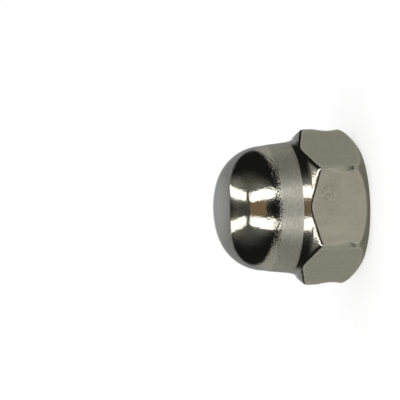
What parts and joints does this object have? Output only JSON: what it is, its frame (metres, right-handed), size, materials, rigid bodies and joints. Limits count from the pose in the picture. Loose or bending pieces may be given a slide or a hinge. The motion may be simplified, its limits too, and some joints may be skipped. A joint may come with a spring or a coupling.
{
  "type": "cap nut",
  "caption": "Domed hexagonal cap nut in nickel-plated steel, with a polished dome, satin flats and a blind threaded hole that covers the end of a bolt or stud.",
  "frame": {"origin": "centre of the bearing face, on the thread axis", "axes": "+Z along the thread axis, out through the tip of the dome; -Y square to one flat; X through two corners of the hexagon"},
  "size_m": [0.0196, 0.017, 0.018],
  "materials": {
    "nickel_plated_steel": "nickel plate, polished bright on the dome and satin on the flats and neck"
  },
  "bodies": {
    "root": {"cap_nut": "nickel_plated_steel"}
  },
  "joints": []
}
